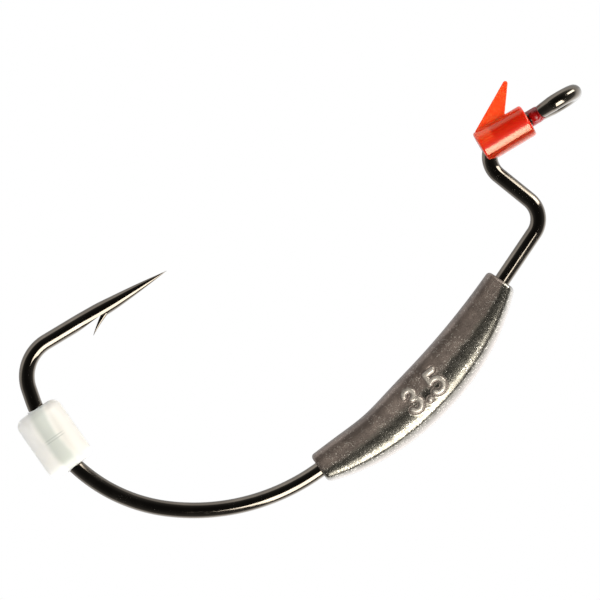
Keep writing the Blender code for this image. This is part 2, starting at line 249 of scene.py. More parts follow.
def hook_path():
    """The wire from its cut end at the eye to the point, and the places along it."""
    places = {}
    lead = math.radians(EYE_END_ANGLE)
    on_ring = Vector((-math.sin(lead), -math.cos(lead), 0.0)) * EYE_RADIUS
    outward = Vector((-math.cos(lead), math.sin(lead), 0.0))
    path = WirePath(on_ring + outward * EYE_END_LENGTH, -outward)
    path.straight(EYE_END_LENGTH, 0.05)
    path.bend(EYE_RADIUS, 180.0 + EYE_END_ANGLE + EYE_NECK_ANGLE, UP, 3.0)
    places["ring_end"] = path.lengths[-1]
    neck = math.radians(EYE_NECK_ANGLE)
    fall = EYE_NECK_BEND * (1.0 - math.cos(neck))
    path.straight((path.points[-1].y - fall) / math.sin(neck))
    path.bend(EYE_NECK_BEND, -EYE_NECK_ANGLE, UP)
    path.straight(path.points[-1].x - NECK_STRAIGHT_END)
    path.bend(*NECK_BEND, LEFT)
    path.straight(OFFSET_LENGTH)
    path.bend(*OFFSET_BEND, LEFT)
    places["shank"] = path.lengths[-1]
    path.straight(SHANK_LENGTH)
    path.bend(*BELLY_BEND, LEFT, step_degrees=0.5)
    path.bend(*LOWER_BEND, LEFT, step_degrees=1.5)
    path.bend(*ROUND_BEND, LEFT, step_degrees=1.5)
    path.straight(GAP_STRAIGHT)
    path.bend(*GAP_BEND, LEFT)
    path.straight(POINT_LEG_LENGTH)
    places["taper"] = path.lengths[-1]
    path.straight(POINT_TAPER_LENGTH, 0.1)
    return path, places


# ---------------------------------------------------------------- mesh helpers

def skin(bm, rings, closed=False):
    """Join rings of equal size into a tube: capped, or closed on itself end to end."""
    loops = [[bm.verts.new(point) for point in ring] for ring in rings]
    pairs = list(zip(loops, loops[1:])) + ([(loops[-1], loops[0])] if closed else [])
    for one, two in pairs:
        for index in range(len(one)):
            following = (index + 1) % len(one)
            bm.faces.new((one[index], one[following], two[following], two[index]))
    if not closed:
        bm.faces.new(loops[0])
        bm.faces.new(loops[-1][::-1])


def clamp(value):
    return min(1.0, max(0.0, value))


def hump(value, centre, width):
    """A bell curve, one high at its centre."""
    return np.exp(-((value - centre) / width) ** 2)


def curve(start, corner, end, steps):
    """Points of the curve that leaves start toward corner and comes into end from it."""
    return [start.lerp(corner, t).lerp(corner.lerp(end, t), t)
            for t in (step / steps for step in range(steps + 1))]


def quarter_round(edge, steps):
    """Depth and inset of the points round a rim, from its end face to its side."""
    turns = [math.radians(90.0 * step / steps) for step in range(steps + 1)]
    return [(edge * (1.0 - math.cos(a)), edge * (1.0 - math.sin(a))) for a in turns]


def circle(centre, side, across, radius, count):
    turns = [2.0 * math.pi * index / count for index in range(count)]
    return [centre + side * (radius * math.cos(a)) + across * (radius * math.sin(a))
            for a in turns]


def round_bar(name, points, radius, count):
    """A round bar along points; its rings stand in the mitre planes and don't twist."""
    bm = bmesh.new()
    rings = []
    first = (points[1] - points[0]).normalized()
    side = LEFT.copy() if abs(first.y) < 0.5 else UP.copy()
    for index, point in enumerate(points):
        before = points[max(index - 1, 0)]
        after = points[min(index + 1, len(points) - 1)]
        along = (after - before).normalized()
        side = (side - along * side.dot(along)).normalized()
        rings.append(circle(point, side, along.cross(side), radius, count))
    skin(bm, rings)
    return new_object(name, bm)


def add_to_scene(name, data):
    obj = bpy.data.objects.new(name, data)
    bpy.context.scene.collection.objects.link(obj)
    return obj


def new_object(name, bm):
    """An object in millimetres from a bmesh, with its faces pointing out."""
    bmesh.ops.recalc_face_normals(bm, faces=bm.faces)
    mesh = bpy.data.meshes.new(name)
    bm.to_mesh(mesh)
    bm.free()
    return add_to_scene(name, mesh)


def bake_modifiers(obj):
    """Turn an object's modifiers into its mesh."""
    graph = bpy.context.evaluated_depsgraph_get()
    mesh = bpy.data.meshes.new_from_object(obj.evaluated_get(graph))
    obj.modifiers.clear()
    obj.data = mesh


def cut(obj, cutter, operation="DIFFERENCE"):
    """Boolean an object with another, which is then removed."""
    modifier = obj.modifiers.new("cut", "BOOLEAN")
    modifier.operation = operation
    modifier.solver = "EXACT"
    modifier.object = cutter
    bake_modifiers(obj)
    bpy.data.objects.remove(cutter)


def soften(obj, voxel, rounds):
    """Remesh a joined shape evenly and smooth it, so that its corners run into each other."""
    remesh = obj.modifiers.new("even", "REMESH")
    remesh.mode = "VOXEL"
    remesh.voxel_size = voxel
    smooth = obj.modifiers.new("soft", "SMOOTH")
    smooth.factor = 0.5
    smooth.iterations = rounds
    bake_modifiers(obj)


def coordinates(obj):
    points = np.zeros(len(obj.data.vertices) * 3)
    obj.data.vertices.foreach_get("co", points)
    return points.reshape(-1, 3)


def set_coordinates(obj, points):
    obj.data.vertices.foreach_set("co", points.astype(np.float32).ravel())
    obj.data.update()


def write_attribute(mesh, name, values):
    mesh.attributes.new(name, "FLOAT", "POINT").data.foreach_set("value", values)


def finish_piece(obj, material, slot, *nodes):
    """Bring a piece from millimetres to metres, give it its finish, and hide the CAD nodes it
    replaces.
    """
    obj.data.transform(Matrix.Scale(MM, 4))
    obj.data.materials.clear()
    obj.data.materials.append(material)
    obj.data.shade_smooth()
    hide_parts(*nodes)


# ---------------------------------------------------------------- material helpers

class Shading:
    """Adds and links the nodes of one material, group or world."""

    def __init__(self, tree):
        self.tree = tree

    def add(self, kind, settings=None, **inputs):
        node = self.tree.nodes.new(kind)
        for name, value in (settings or {}).items():
            setattr(node, name, value)
        for name, value in inputs.items():
            self.feed(node, name.replace("_", " "), value)
        return node

    def feed(self, node, name, value):
        socket = node.inputs[int(name)] if name.isdigit() else node.inputs[name]
        if isinstance(value, bpy.types.NodeSocket):
            self.tree.links.new(value, socket)
        else:
            socket.default_value = value

    def maths(self, operation, one, two=0.0, three=0.0):
        node = self.add("ShaderNodeMath", {"operation": operation})
        for index, value in enumerate((one, two, three)):
            self.feed(node, str(index), value)
        return node.outputs[0]

    def times(self, one, two):
        return self.maths("MULTIPLY", one, two)

    def line(self, value, slope, offset):
        return self.maths("MULTIPLY_ADD", value, slope, offset)

    def near(self, value, centre, inner, outer):
        """One within inner of a centre, and zero beyond outer."""
        away = self.maths("ABSOLUTE", self.maths("SUBTRACT", value, centre))
        return self.span(away, inner, outer, 1.0, 0.0)

    def attribute(self, name):
        return self.add("ShaderNodeAttribute", {"attribute_name": name}).outputs["Fac"]

    def mix(self, share, one, two):
        node = self.add("ShaderNodeMix", {"data_type": "RGBA"})
        for name, value in (("0", share), ("6", one), ("7", two)):
            self.feed(node, name, value)
        return node.outputs[2]

    def span(self, value, low, high, to_low=0.0, to_high=1.0):
        node = self.add("ShaderNodeMapRange", {"interpolation_type": "SMOOTHSTEP"})
        for index, part in enumerate((value, low, high, to_low, to_high)):
            self.feed(node, str(index), part)
        return node.outputs[0]

    def noise(self, vector, scale, detail=3.0, roughness=0.55):
        return self.add("ShaderNodeTexNoise", Vector=vector, Scale=scale, Detail=detail,
                        Roughness=roughness).outputs["Fac"]

    def group(self, tree, **inputs):
        node = self.add("ShaderNodeGroup", {"node_tree": tree})
        for name, value in inputs.items():
            self.feed(node, name.replace("_", " "), value)
        return node.outputs


def new_group(name, inputs, outputs):
    """A shader node group with float or vector inputs and float outputs."""
    tree = bpy.data.node_groups.new(name, "ShaderNodeTree")
    for label, kind, value in inputs:
        socket = tree.interface.new_socket(label, in_out="INPUT", socket_type=kind)
        if value is not None:
            socket.default_value = value
    for label in outputs:
        tree.interface.new_socket(label, in_out="OUTPUT", socket_type="NodeSocketFloat")
    shading = Shading(tree)
    return tree, shading, shading.add("NodeGroupInput").outputs, shading.add("NodeGroupOutput")


def grain_group():
    """Cast or moulded grain: a fine height, and slow blotches."""
    name = "cast grain"
    if name in bpy.data.node_groups:
        return bpy.data.node_groups[name]
    tree, shading, given, out = new_group(name, (
        ("Vector", "NodeSocketVector", None),
        ("Fine Scale", "NodeSocketFloat", 4000.0),
        ("Blotch Scale", "NodeSocketFloat", 400.0)), ("Height", "Blotch"))
    fine = shading.noise(given["Vector"], given["Fine Scale"], 4.0, 0.6)
    lumps = shading.noise(given["Vector"], shading.times(given["Fine Scale"], 0.22), 2.0)
    shading.feed(out, "Height", shading.line(fine, 0.5, shading.times(lumps, 0.5)))
    shading.feed(out, "Blotch", shading.noise(given["Vector"], given["Blotch Scale"], 3.0, 0.6))
    return tree


def specks_group():
    """Scattered fine specks, such as dust or bright grains, in patches."""
    name = "scattered specks"
    if name in bpy.data.node_groups:
        return bpy.data.node_groups[name]
    tree, shading, given, out = new_group(name, (
        ("Vector", "NodeSocketVector", None),
        ("Scale", "NodeSocketFloat", 5000.0),
        ("Size", "NodeSocketFloat", 0.25),
        ("Patch Scale", "NodeSocketFloat", 500.0),
        ("Coverage", "NodeSocketFloat", 0.5)), ("Mask",))
    cells = shading.add("ShaderNodeTexVoronoi", {"feature": "F1"},
                        Vector=given["Vector"], Scale=given["Scale"])
    colour = shading.add("ShaderNodeSeparateColor", Color=cells.outputs["Color"]).outputs[0]
    size = shading.times(given["Size"], colour)
    dot = shading.maths("LESS_THAN", cells.outputs["Distance"], size)
    patch = shading.noise(given["Vector"], given["Patch Scale"], 2.0)
    near = shading.maths("LESS_THAN", patch, given["Coverage"])
    shading.feed(out, "Mask", shading.times(dot, near))
    return tree


def rgba(colour, share=1.0):
    """A colour, or a share of it, with full alpha."""
    return (*(channel * share for channel in colour), 1.0)


def new_material(name, **sockets):
    """A Principled material; returns it, its node helper, its shader and object coordinates."""
    material = bpy.data.materials.new(name)
    material.use_nodes = True
    shading = Shading(material.node_tree)
    shader = material.node_tree.nodes["Principled BSDF"]
    for label, value in sockets.items():
        shading.feed(shader, label.replace("_", " "), value)
    place = shading.add("ShaderNodeTexCoord").outputs["Object"]
    return material, shading, shader, place


def bump(shading, shader, height, distance, strength):
    node = shading.add("ShaderNodeBump", Height=height, Distance=distance, Strength=strength)
    shading.feed(shader, "Normal", node.outputs["Normal"])


def black_nickel(settings):
    """Polished dark plating with a warm tint, fine dust, faint blotches and a fine grain."""
    material, shading, shader, place = new_material("black_nickel", Metallic=1.0)
    grain = shading.group(grain_group(), Vector=place, Fine_Scale=2600.0, Blotch_Scale=260.0)
    dust = shading.group(specks_group(), Vector=place, Scale=9000.0, Size=0.22,
                         Patch_Scale=700.0, Coverage=0.46)["Mask"]
    tone = shading.mix(shading.span(grain["Blotch"], 0.45, 0.70), rgba(settings.colour),
                       rgba(settings.colour, 1.35))
    shading.feed(shader, "Base Color", shading.mix(dust, tone, rgba(settings.dust_colour)))
    smudge = shading.span(grain["Blotch"], 0.35, 0.75, settings.roughness * 0.8,
                          settings.roughness * 1.6)
    shading.feed(shader, "Roughness", shading.line(dust, 0.30, smudge))
    bump(shading, shader, grain["Height"], 0.000006, 0.5)
    return material


def cast_lead(settings):
    """Cast lead: a brown patina on the flats, grainy metal below them, a smooth keel."""
    material, shading, shader, place = new_material("cast_lead")
    grain = shading.group(grain_group(), Vector=place, Fine_Scale=5200.0, Blotch_Scale=520.0)
    bright = shading.group(specks_group(), Vector=place, Scale=6000.0, Size=0.50,
                           Patch_Scale=900.0, Coverage=0.54)["Mask"]
    zone = shading.attribute("bare")
    crumbs = shading.maths("ADD", grain["Blotch"], grain["Height"])
    ragged = shading.line(crumbs, 0.9, shading.maths("SUBTRACT", zone, 0.9))
    bare = shading.span(ragged, 0.05, 0.95)
    keel = shading.span(zone, 1.0, 2.0)
    brown = shading.mix(shading.span(grain["Blotch"], 0.40, 0.62),
                        rgba(settings.patina, 0.66), rgba(settings.patina))
    grey = shading.mix(shading.span(grain["Height"], 0.38, 0.58),
                       rgba(settings.colour, 0.55), rgba(settings.colour))
    tone = shading.mix(keel, shading.mix(bare, brown, grey), rgba(settings.keel_colour))
    # partly wear, partly a painted highlight: the numerals' tops lighter
    tone = shading.mix(shading.times(shading.attribute("worn"), 0.75), tone,
                       rgba(settings.worn_colour))
    glint = shading.times(bright, shading.line(shading.maths("SUBTRACT", bare, keel), 0.6, 0.2))
    shading.feed(shader, "Base Color", shading.mix(glint, tone, rgba(settings.glint_colour)))
    shading.feed(shader, "Metallic", shading.span(bare, 0.0, 1.0, 0.55, 0.97))
    dull = shading.span(bare, 0.0, 1.0, settings.roughness * 1.15, settings.roughness * 0.80)
    shading.feed(shader, "Roughness", shading.line(glint, -0.10, dull))
    height = shading.times(shading.line(keel, -0.7, 1.0),
                           shading.line(glint, 0.6, grain["Height"]))
    bump(shading, shader, height, 0.00004, 0.75)
    return material


def orange_plastic(settings):
    """Glossy moulded plastic, deep red over the wire; painted light on fin and rear, painted shade
    below.
    """
    material, shading, shader, place = new_material(
        "orange_plastic", IOR=1.50, Coat_Roughness=0.36, Specular_Tint=(1.0, 0.76, 0.48, 1.0),
        Subsurface_Weight=0.8, Subsurface_Radius=(1.0, 0.20, 0.08), Subsurface_Scale=0.0010)
    where = shading.add("ShaderNodeSeparateXYZ", Vector=place).outputs
    top = settings.radius
    # painted light: the fin and the upper rear end of the sleeve are lighter, as if light shone
    # through
    thin = shading.span(where["Z"], top * 0.75, top * 1.05)
    rear = shading.times(shading.span(where["X"], -4.2 * top, -4.5 * top),
                         shading.span(where["Z"], -0.1 * top, 0.4 * top))
    light = shading.maths("MAXIMUM", thin, shading.times(rear, 0.8))
    grain = shading.group(grain_group(), Vector=place, Fine_Scale=2200.0, Blotch_Scale=500.0)
    tone = shading.mix(light, rgba(settings.colour), rgba(settings.thin_colour))
    clouds = shading.times(shading.span(grain["Blotch"], 0.5, 0.8), 0.35)
    tone = shading.mix(clouds, tone, rgba(settings.colour, 0.86))
    # painted shade: the sleeve darker towards its underside
    under = shading.span(where["Z"], -0.40 * top, -0.62 * top)
    shading.feed(shader, "Base Color", shading.mix(
        shading.times(under, 0.70), tone, rgba(settings.under_colour)))
    shading.feed(shader, "Roughness", shading.span(grain["Blotch"], 0.3, 0.8, 0.12, 0.22))
    shading.feed(shader, "Coat Weight", shading.times(
        shading.span(where["Z"], 0.1 * top, 0.5 * top, 0.6, 0.0),
        shading.span(where["Z"], -0.60 * top, -0.35 * top)))
    bump(shading, shader, grain["Height"], 0.000012, 0.6)
    return material


def clear_silicone(settings):
    """Milky silicone, with painted shade where the wire shows through and on the inside of the
    bend.
    """
    material, shading, shader, place = new_material(
        "clear_silicone", IOR=1.36, Transmission_Weight=0.22,
        Subsurface_Weight=1.0, Subsurface_Radius=(1.0, 0.97, 0.90), Subsurface_Scale=0.0030)
    grain = shading.group(grain_group(), Vector=place, Fine_Scale=1600.0, Blotch_Scale=350.0)
    aside, level = shading.attribute("wire_aside"), shading.attribute("axis_place")
    # painted shade: a grey band where the wire is seen through the silicone
    off_wire = shading.line(grain["Blotch"], 0.5, shading.maths("ABSOLUTE", aside))
    ghost = shading.span(off_wire, 0.70, 1.40, 1.0, 0.0)
    # two thin darker lines across the middle, in a darker tone of the wire's grey band
    middle_lines = shading.times(shading.near(shading.maths("ABSOLUTE", level), 0.13, 0.03, 0.09),
                           shading.near(aside, -0.35, 0.7, 1.3))
    tone = shading.mix(shading.span(grain["Blotch"], 0.35, 0.70),
                       rgba(settings.colour, 0.97), rgba(settings.colour))
    # painted shade: darker on the inside of the bend
    tone = shading.mix(shading.span(aside, -0.5, -1.3), tone, rgba(settings.colour, 0.67))
    tone = shading.mix(shading.times(ghost, 0.85), tone, rgba(settings.wire_colour))
    shading.feed(shader, "Base Color", shading.mix(
        shading.times(middle_lines, 0.6), tone, rgba(settings.wire_colour, 0.7)))
    shading.feed(shader, "Roughness", shading.span(grain["Blotch"], 0.3, 0.7, 0.30, 0.40))
    bump(shading, shader, grain["Height"], 0.000008, 0.5)
    return material


def red_varnish(settings):
    """Clear dark red varnish, thickly flowed."""
    material, shading, shader, place = new_material(
        "red_varnish", IOR=1.34, Transmission_Weight=0.15)
    grain = shading.group(grain_group(), Vector=place, Fine_Scale=1500.0, Blotch_Scale=900.0)
    shading.feed(shader, "Base Color", shading.mix(
        shading.span(grain["Blotch"], 0.40, 0.65), rgba(settings.colour),
        rgba(settings.colour, 0.6)))
    shading.feed(shader, "Roughness", shading.span(grain["Blotch"], 0.3, 0.7, 0.26, 0.38))
    bump(shading, shader, grain["Height"], 0.00002, 0.4)
    return material


# ---------------------------------------------------------------- hook wire

BARB_ROOT = Vector((-49.45, 0.0, 5.40))
BARB_ACROSS = Vector((0.49, 0.0, -0.87))    # square to the barb, in the hook's plane
BARB_LENGTH = 2.45                          # along X
BARB_FALL = (1.18, 0.30)                    # steady, and added toward the tip
BARB_STEPS = 16
BARB_SIDES = 28
CHISEL_OUTLINE = ((-53.6, 4.93), (-50.30, 5.30), (-49.95, 5.06), (-50.9, 4.1), (-53.6, 4.1))
CHISEL_REACH = 1.2                          # to either side of the hook's plane


def swept_bar_tree():
    """Geometry Nodes: a round bar along a line, its radius a share of the wire's."""
    tree = bpy.data.node_groups.new("swept bar", "GeometryNodeTree")
    tree.is_modifier = True
    for label, kind in (("Line", "NodeSocketGeometry"), ("Wire Radius", "NodeSocketFloat"),
                        ("Sides", "NodeSocketInt"), ("Finish", "NodeSocketMaterial")):
        tree.interface.new_socket(label, in_out="INPUT", socket_type=kind)
    tree.interface.new_socket("Bar", in_out="OUTPUT", socket_type="NodeSocketGeometry")
    build = Shading(tree)
    given = build.add("NodeGroupInput").outputs
    share = build.add("GeometryNodeInputNamedAttribute", {"data_type": "FLOAT"}, Name="share")
    radius = build.maths("MULTIPLY", share.outputs[0], given["Wire Radius"])
    line = build.add("GeometryNodeMeshToCurve", Mesh=given["Line"])
    sized = build.add("GeometryNodeSetCurveRadius", Curve=line.outputs[0], Radius=radius)
    profile = build.add("GeometryNodeCurvePrimitiveCircle", Resolution=given["Sides"], Radius=1.0)
    bar = build.add("GeometryNodeCurveToMesh", Curve=sized.outputs[0],
                    Profile_Curve=profile.outputs[0], Fill_Caps=True)
    if "Scale" in bar.inputs:
        build.feed(bar, "Scale", radius)
    real = build.add("GeometryNodeRealizeInstances", Geometry=bar.outputs[0])
    done = build.add("GeometryNodeSetMaterial", Geometry=real.outputs[0],
                     Material=given["Finish"])
    build.add("NodeGroupOutput", Bar=done.outputs[0])
    return tree


def run_tree(obj, tree, **inputs):
    """Give an object a Geometry Nodes modifier, set its inputs and keep only the result."""
    modifier = obj.modifiers.new(tree.name, "NODES")
    modifier.node_group = tree
    for item in tree.interface.items_tree:
        label = item.name.replace(" ", "_")
        if item.in_out == "INPUT" and label in inputs:
            modifier[item.identifier] = inputs[label]
    bake_modifiers(obj)


def wire_share(distance, places, settings):
    """Radius at a distance along the wire, as a share of the plain wire's."""
    end_share = settings.end_radius / settings.radius
    if distance < EYE_END_LENGTH:
        share = end_share + (1.0 - end_share) * distance / EYE_END_LENGTH
        if distance < EYE_END_ROUNDING:
            share *= 0.45 + 0.55 * math.sqrt(1.0 - (1.0 - distance / EYE_END_ROUNDING) ** 2)
        return share
    taper = max(0.0, (distance - places["taper"]) / POINT_TAPER_LENGTH)
    return max(POINT_TIP_SHARE, 1.0 - taper ** POINT_TAPER_POWER)


def barb_sliver():
    """The sliver that a chisel lifts from the underside of the point leg."""
    bm = bmesh.new()
    rings = []
    for t in np.linspace(0.0, 1.0, BARB_STEPS + 1):
        fall = BARB_FALL[0] * t + BARB_FALL[1] * t * t
        centre = BARB_ROOT - Vector((BARB_LENGTH * t, 0.0, fall))
        width = 0.52 * (1.0 - t) ** 0.7 + 0.04
        thickness = 0.33 * (1.0 - t) ** 0.9 + 0.012
        ring = []
        for index in range(BARB_SIDES):
            angle = 2.0 * math.pi * index / BARB_SIDES
            aside, rise = (math.copysign(abs(part) ** 0.6, part)
                           for part in (math.cos(angle), math.sin(angle)))
            ring.append(centre + BARB_ACROSS * (thickness * rise) + LEFT * (width * aside))
        rings.append(ring)
    skin(bm, rings)
    return new_object("barb_sliver", bm)


def chisel_cut():
    """The shallow wedge that the chisel takes from the leg behind the barb."""
    bm = bmesh.new()
    skin(bm, [[Vector((x, side, z)) for x, z in CHISEL_OUTLINE]
              for side in (-CHISEL_REACH, CHISEL_REACH)])
    return new_object("chisel_cut", bm)


class OBJECT_OT_hook_wire(bpy.types.Operator):
    """Sweep the wire along its bends, with its eye, barb and needle point"""
    bl_idname = "object.make_hook_wire"
    bl_label = "Hook Wire"

    def execute(self, context):
        settings = context.scene.swimbait_hook.wire
        path, places = hook_path()
        finish = black_nickel(settings)
        mesh = bpy.data.meshes.new("hook_wire")
        points = []
        for point, distance in zip(path.points, path.lengths):
            drop = clamp(0.5 + (distance - places["taper"]) / (2.0 * POINT_DROP_REACH))
            past_ring = clamp((distance - places["ring_end"]) / EYE_TWIST_FADE)
            twist = Matrix.Rotation(-settings.eye_twist * (1.0 - past_ring), 3, "X")
            points.append(twist @ point - UP * (POINT_DROP * drop))
        edges = [(index, index + 1) for index in range(len(points) - 1)]
        mesh.from_pydata(points, edges, [])
        write_attribute(mesh, "share", [wire_share(distance, places, settings)
                                        for distance in path.lengths])
        wire = add_to_scene("hook_wire", mesh)
        run_tree(wire, swept_bar_tree(), Wire_Radius=settings.radius / MM,
                 Sides=settings.sides, Finish=finish)
        cut(wire, chisel_cut())
        cut(wire, barb_sliver(), "UNION")
        finish_piece(wire, finish, "black_nickel", "hook")
        wire.data.set_sharp_from_angle(angle=math.radians(38.0))
        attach(wire, "hook_assembly")
        return {"FINISHED"}


# ---------------------------------------------------------------- belly weight

WEIGHT_START = 5.70                 # along the shank, from the end of the offset bend
WEIGHT_TOP = (1.62, 0.18)           # above the wire's axis: at the ends, and added at the middle
WEIGHT_BOTTOM = (1.50, 2.38)        # below the wire's axis: at the ends, and added at the middle
WEIGHT_HALF_WIDTH = (1.26, 0.52)
WEIGHT_SWELL_POWER = 2.2
WEIGHT_DIP = (0.24, 0.74, 0.12)     # of the top: depth, place and spread as shares of the length
WEIGHT_WALL_POINTS = 24             # on the flat of each side, and again below it
KEEL_SHARE = 0.25                   # of the depth below the wire
SEAM = (0.045, 0.08)                # height, spread
BORE_MOUTH = (0.06, 0.16)           # depth and flare of the bore's mouths
MARK_CENTRE = (-26.42, -17.75)      # x, z
MARK_TILT = 8.0
STROKE_EDGE = (0.22, 0.030)         # from a stroke's middle line: where its side is, how soft
STROKE_RIDGE = (0.045, 0.44, 0.055)     # of the faint ridge round it: height, place, spread
STROKE_TOP = (0.14, 0.09)           # of its rubbed top, lighter as wear and a painted highlight: half width, spread
STROKE_PATINA = (0.75, 0.37, 0.25)  # kept beside it: share, inner edge, ramp
MARK_SIDE = (0.9, 0.3)              # from the hook's plane to where the mark starts, ramp


def rounded_corner(before, corner, after, reach, steps):
    """Points along a corner that is rounded from reach before it to reach after it."""
    start = corner + (before - corner).normalized() * reach
    end = corner + (after - corner).normalized() * reach
    return curve(start, corner, end, steps)


def stretch_points(start, end, count):
    return [start.lerp(end, (step + 1) / (count + 1)) for step in range(count)]


def half_section(top, bottom, keel, half_width):
    """Half of the weight's outline from the top round to the keel, as (side, height)."""
    crown = Vector((0.0, top))
    shoulder = Vector((half_width, top - 0.06))
    tuck = Vector((half_width, -0.25 * bottom))
    chine = Vector((half_width * 0.82, keel - bottom))
    below = Vector((half_width, tuck.y + 0.64 * (chine.y - tuck.y)))
    foot = Vector((0.0, -bottom))
    mirrored = Vector((-chine.x, chine.y))
    over_shoulder = rounded_corner(crown, shoulder, tuck, min(1.15, half_width * 0.75), 12)
    over_chine = rounded_corner(below, chine, foot, min(0.26, keel * 0.4), 10)
    under_foot = rounded_corner(chine, foot, mirrored, 0.34, 8)[:5]
    points = stretch_points(crown, over_shoulder[0], 5) + over_shoulder
    points += stretch_points(over_shoulder[-1], tuck, WEIGHT_WALL_POINTS)
    points += curve(tuck, below, over_chine[0], WEIGHT_WALL_POINTS)[:-1]
    points += over_chine + stretch_points(over_chine[-1], under_foot[0], 6) + under_foot
    return [crown] + points


def weight_section(path, distance, share, inset):
    """One section of the weight, and how bare of patina each point is: up to 2 on the keel."""
    point, heading = path.at(distance)
    upward = heading.cross(LEFT)
    swell = 1.0 - abs(2.0 * clamp(share) - 1.0) ** WEIGHT_SWELL_POWER
    dip = WEIGHT_DIP[0] * hump(share, *WEIGHT_DIP[1:])
    top = WEIGHT_TOP[0] + WEIGHT_TOP[1] * swell - dip - inset
    bottom = WEIGHT_BOTTOM[0] + WEIGHT_BOTTOM[1] * swell - inset
    half_width = WEIGHT_HALF_WIDTH[0] + WEIGHT_HALF_WIDTH[1] * swell - inset
    keel = KEEL_SHARE * bottom
    half = half_section(top, bottom, keel, half_width)
    outline = half + [Vector((-p.x, p.y)) for p in reversed(half[1:-1])]
    ring, bare = [], []
    for place in outline:
        seam = SEAM[0] * hump(place.x, 0.0, SEAM[1])
        height = place.y + math.copysign(seam, place.y)
        ring.append(point + upward * height + LEFT * place.x)
        low = clamp((-0.04 * bottom - place.y) / (0.30 * bottom))
        bare.append(low + clamp((keel - bottom - place.y - 0.08) / (0.8 * keel)))
    return ring, bare


def stroke_distance(u, v):
    """Distance from points to the middle lines of the raised numerals 3.5, one unit high."""
    def segment(ax, ay, bx, by):
        dx, dy = bx - ax, by - ay
        t = np.clip(((u - ax) * dx + (v - ay) * dy) / (dx * dx + dy * dy), 0.0, 1.0)
        return np.hypot(u - ax - t * dx, v - ay - t * dy)

    def arc(cx, cy, radius, start, end):
        middle, half = math.radians((start + end) / 2.0), math.radians((end - start) / 2.0)
        angle = np.arctan2(v - cy, u - cx) - middle
        angle = (angle + math.pi) % (2.0 * math.pi) - math.pi
        on_arc = np.clip(angle, -half, half) + middle
        return np.hypot(u - cx - radius * np.cos(on_arc), v - cy - radius * np.sin(on_arc))

    three = [arc(-0.62, 0.225, 0.21, -90.0, 155.0), arc(-0.62, -0.235, 0.25, -155.0, 90.0)]
    point = [np.hypot(u + 0.02, v + 0.46)]
    five = [segment(0.40, 0.45, 0.80, 0.45), segment(0.40, 0.45, 0.37, 0.06),
            arc(0.55, -0.17, 0.29, -145.0, 128.0)]
    return np.min(three + point + five, axis=0)


def raise_mark(weight, bare, settings):
    """Push the numerals out of the near side, give their tops wear and a painted highlight, keep
    patina beside them.
    """
    points = coordinates(weight)
    tilt = math.radians(MARK_TILT)
    dx, dz = points[:, 0] - MARK_CENTRE[0], points[:, 2] - MARK_CENTRE[1]
    size, relief = settings.mark_height / MM, settings.mark_relief / MM
    u = (dx * math.cos(tilt) + dz * math.sin(tilt)) / size
    v = (-dx * math.sin(tilt) + dz * math.cos(tilt)) / size
    away = stroke_distance(u, v) * size
    proud = relief / (1.0 + np.exp((away - STROKE_EDGE[0]) / STROKE_EDGE[1]))
    ridge = STROKE_RIDGE[0] * hump(away, *STROKE_RIDGE[1:])
    on_side = np.clip((-points[:, 1] - MARK_SIDE[0]) / MARK_SIDE[1], 0.0, 1.0)
    points[:, 1] -= (proud + ridge) * on_side
    set_coordinates(weight, points)
    kept, inner, ramp = STROKE_PATINA
    beside = np.clip((inner + ramp - away) / ramp, 0.0, 1.0)
    write_attribute(weight.data, "bare", np.array(bare) * (1.0 - kept * on_side * beside))
    # the numerals' tops: partly wear, partly a painted highlight
    worn = hump(np.maximum(away, STROKE_TOP[0]), *STROKE_TOP)
    write_attribute(weight.data, "worn", worn * on_side)


class OBJECT_OT_belly_weight(bpy.types.Operator):
    """Cast the keel weight round the shank, with its parting seam and raised numerals"""
    bl_idname = "object.make_belly_weight"
    bl_label = "Belly Weight"

    def execute(self, context):
        settings = context.scene.swimbait_hook.weight
        wire_radius = context.scene.swimbait_hook.wire.radius / MM
        path, places = hook_path()
        start, length = places["shank"] + WEIGHT_START, settings.length / MM
        edge = settings.edge / MM
        rounding = quarter_round(edge, 6)[:-1]
        stations = rounding + [(s, 0.0) for s in np.linspace(edge, length - edge, 320)]
        stations += [(length - s, inset) for s, inset in reversed(rounding)]
        rings, bare = [], []
        for distance, inset in stations:
            ring, shares = weight_section(path, start + distance, distance / length, inset)
            rings.append(ring)
            bare += shares
        count = len(rings[0])

        def bore_ring(distance, radius):
            point, heading = path.at(start + distance)
            return circle(point, heading.cross(LEFT), LEFT, radius, count)

        tight = wire_radius + 0.01
        depth, flare = BORE_MOUTH
        rings += [bore_ring(length, tight + flare), bore_ring(length - depth, tight)]
        rings += [bore_ring(s, tight) for s in np.linspace(length, 0.0, 60)[1:-1]]
        rings += [bore_ring(depth, tight), bore_ring(0.0, tight + flare)]
        bare += [0.0] * (count * len(rings) - len(bare))
        bm = bmesh.new()
        skin(bm, rings, closed=True)
        weight = new_object("belly_weight_cast", bm)
        raise_mark(weight, bare, settings)
        finish_piece(weight, cast_lead(settings), "cast_lead", "belly_weight")
        weight.data.set_sharp_from_angle(angle=math.radians(50.0))
        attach(weight, "hook_assembly")
        return {"FINISHED"}


# ---------------------------------------------------------------- bait keeper

